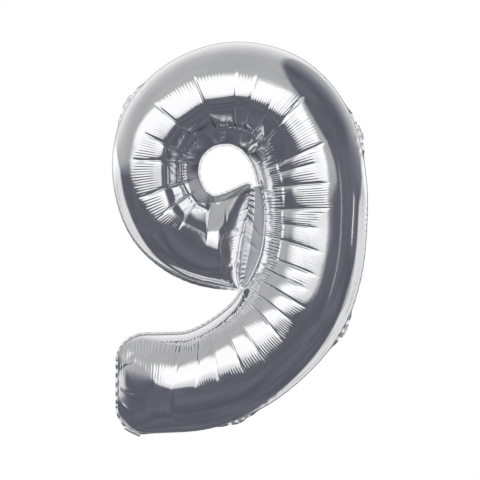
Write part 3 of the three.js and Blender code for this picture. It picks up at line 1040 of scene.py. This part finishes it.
def strip_lights(f, right, z):
    """A narrow upright strip and a small spot on the right, at angles from straight ahead."""
    strip = f.ramp(f.size(f.less(right, 0.85)), 0.022, 0.006)
    strip = f.times(strip, f.times(f.ramp(z, -0.30, -0.18), f.ramp(z, 0.16, 0.05)))
    spot = f.ramp(f.size(f.less(right, 1.35)), 0.035, 0.015)
    spot = f.times(spot, f.ramp(f.size(f.add(z, 0.01)), 0.06, 0.04))
    return f.add(f.times(strip, STRIP_LEVEL), f.times(spot, SPOT_LEVEL))


def white_walls(f, way, x, y, z, up, right):
    """The white wall in front, and the white backdrop behind and round the sides."""
    window_up = f.times(f.ramp(up, -0.17, -0.07), f.less(1.0, f.ramp(up, 0.42, 0.66)))
    window_side = f.times(f.ramp(right, -1.10, -0.75), f.less(1.0, f.ramp(right, 0.36, 0.50)))
    window = f.times(window_up, window_side)
    round_side = f.add(y, f.times(f.size(x), 0.95))
    round_side = f.less(round_side, f.times(f.lowest(f.highest(z, 0.0), 0.15), 2.0))
    under = f.times(f.highest(f.times(z, -1.0), 0.0), f.size(x))
    round_side = f.add(round_side, f.times(under, 0.35))
    behind = f.times(f.ramp(round_side, 1.00, 1.16), 0.75)
    uneven = f.add(0.66, f.ramp(f.clouds(way, 5.0, 3.0), 0.28, 0.50))
    return f.lowest(f.times(f.highest(window, behind), uneven), 1.0)


def studio_world():
    """A plain white studio for the eye. The film mirrors a grey room with a dark floor and
    right side, strip lights, and white walls in front and behind."""
    world = bpy.data.worlds.new("studio")
    bpy.context.scene.world = world
    world.use_nodes = True
    nodes, links = world.node_tree.nodes, world.node_tree.links
    nodes.clear()
    f = Formula(world.node_tree)

    way = nodes.new("ShaderNodeTexCoord").outputs["Generated"]
    split = nodes.new("ShaderNodeSeparateXYZ")
    links.new(way, split.inputs["Vector"])
    x, y, z = split.outputs
    front = f.times(y, -1.0)
    up = f.math("ARCTAN2", z, f.highest(front, 0.02))
    right = f.math("ARCTAN2", x, front)
    level = f.add(room_light(f, way, x, y, z), strip_lights(f, right, z))
    level = f.add(level, f.times(white_walls(f, way, x, y, z, up, right), WHITE_LEVEL))

    mirrored = nodes.new("ShaderNodeBackground")
    links.new(level, mirrored.inputs["Strength"])
    colour = blend_colours(nodes, links, f.ramp(level, 0.1, 0.5), DARK_TINT, WHITE_TINT)
    links.new(colour, mirrored.inputs["Color"])
    seen = nodes.new("ShaderNodeBackground")
    seen.inputs["Color"].default_value = (1, 1, 1, 1)
    seen.inputs["Strength"].default_value = 1.0
    path = nodes.new("ShaderNodeLightPath")
    mix = nodes.new("ShaderNodeMixShader")
    links.new(path.outputs["Is Camera Ray"], mix.inputs["Fac"])
    links.new(mirrored.outputs[0], mix.inputs[1])
    links.new(seen.outputs[0], mix.inputs[2])
    output = nodes.new("ShaderNodeOutputWorld")
    links.new(mix.outputs[0], output.inputs["Surface"])


def camera():
    """Straight in front of the figure, at its middle."""
    low, high = (Vector(v) for v in CAD_BOX)
    middle = (low + high) / 2
    data = bpy.data.cameras.new("camera")
    eye = bpy.data.objects.new("camera", data)
    bpy.context.scene.collection.objects.link(eye)
    data.sensor_width = SENSOR
    data.lens = SENSOR * CAMERA_DISTANCE / VIEW_WIDTH
    eye.location = (middle.x, middle.y - CAMERA_DISTANCE, middle.z)
    eye.rotation_euler = (np.pi / 2, 0, 0)
    bpy.context.scene.camera = eye


def soft_light():
    """A wide soft light over the floor. The film doesn't mirror it: it mirrors the walls."""
    low, high = (Vector(v) for v in CAD_BOX)
    data = bpy.data.lights.new("soft_light", "AREA")
    data.shape = "DISK"
    data.size = LIGHT_SIZE
    data.energy = LIGHT_POWER
    lamp = bpy.data.objects.new("soft_light", data)
    lamp.location = ((low.x + high.x) / 2, -LIGHT_FORWARD, high.z + LIGHT_ABOVE)
    lamp.visible_glossy = False
    bpy.context.scene.collection.objects.link(lamp)


def floor():
    """A pale floor well below the balloon, which hangs or floats over it."""
    low, high = (Vector(v) for v in CAD_BOX)
    material, _, _, shader = new_material("pale_floor")
    shader.inputs["Base Color"].default_value = (0.85, 0.85, 0.85, 1)
    shader.inputs["Roughness"].default_value = 0.9
    middle = (low.x + high.x) / 2
    bpy.ops.mesh.primitive_circle_add(vertices=96, radius=FLOOR_RADIUS, fill_type="NGON",
                                      location=(middle, 0, low.z - FLOOR_BELOW))
    disc = bpy.context.object
    disc.name = "floor"
    disc.data.materials.append(material)
    disc.visible_glossy = False


# ---- assembly -------------------------------------------------------------------------------

def foil_sheet(name, side, seed, node):
    piece = sheet_mesh(name, side, seed)
    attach(piece, "envelope")
    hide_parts(node)


def seam_band():
    piece = band_mesh("fused_seam_band", FRONT_SEED)
    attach(piece, "envelope")
    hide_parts("seam_weld")


def clear_inner_valve():
    """The valve's films inside the tube keep their CAD shape and get the clear film."""
    for name in ("valve_front_film_inner", "valve_back_film_inner"):
        node = frame["nodes"][name]
        node.data.materials.clear()
        node.data.materials.append(CLEAR_FILM)


bpy.context.scene.view_settings.view_transform = "Standard"
studio_world()
camera()
soft_light()
floor()

foil_sheet("front_foil", -1, FRONT_SEED, "front_foil_sheet")
seam_band()
foil_sheet("back_foil", 1, BACK_SEED, "back_foil_sheet")
neck_ply("neck_front_film", -1, 51)
neck_ply("neck_back_film", 1, 52)
neck_seal("neck_seal_left", -1)
neck_seal("neck_seal_right", 1)
valve_film("valve_front_film_in_neck", -1, 61)
valve_film("valve_back_film_in_neck", 1, 62)
for number, place in enumerate(TAB_AT):
    hanging_tab(place, 71 + number)

clear_inner_valve()
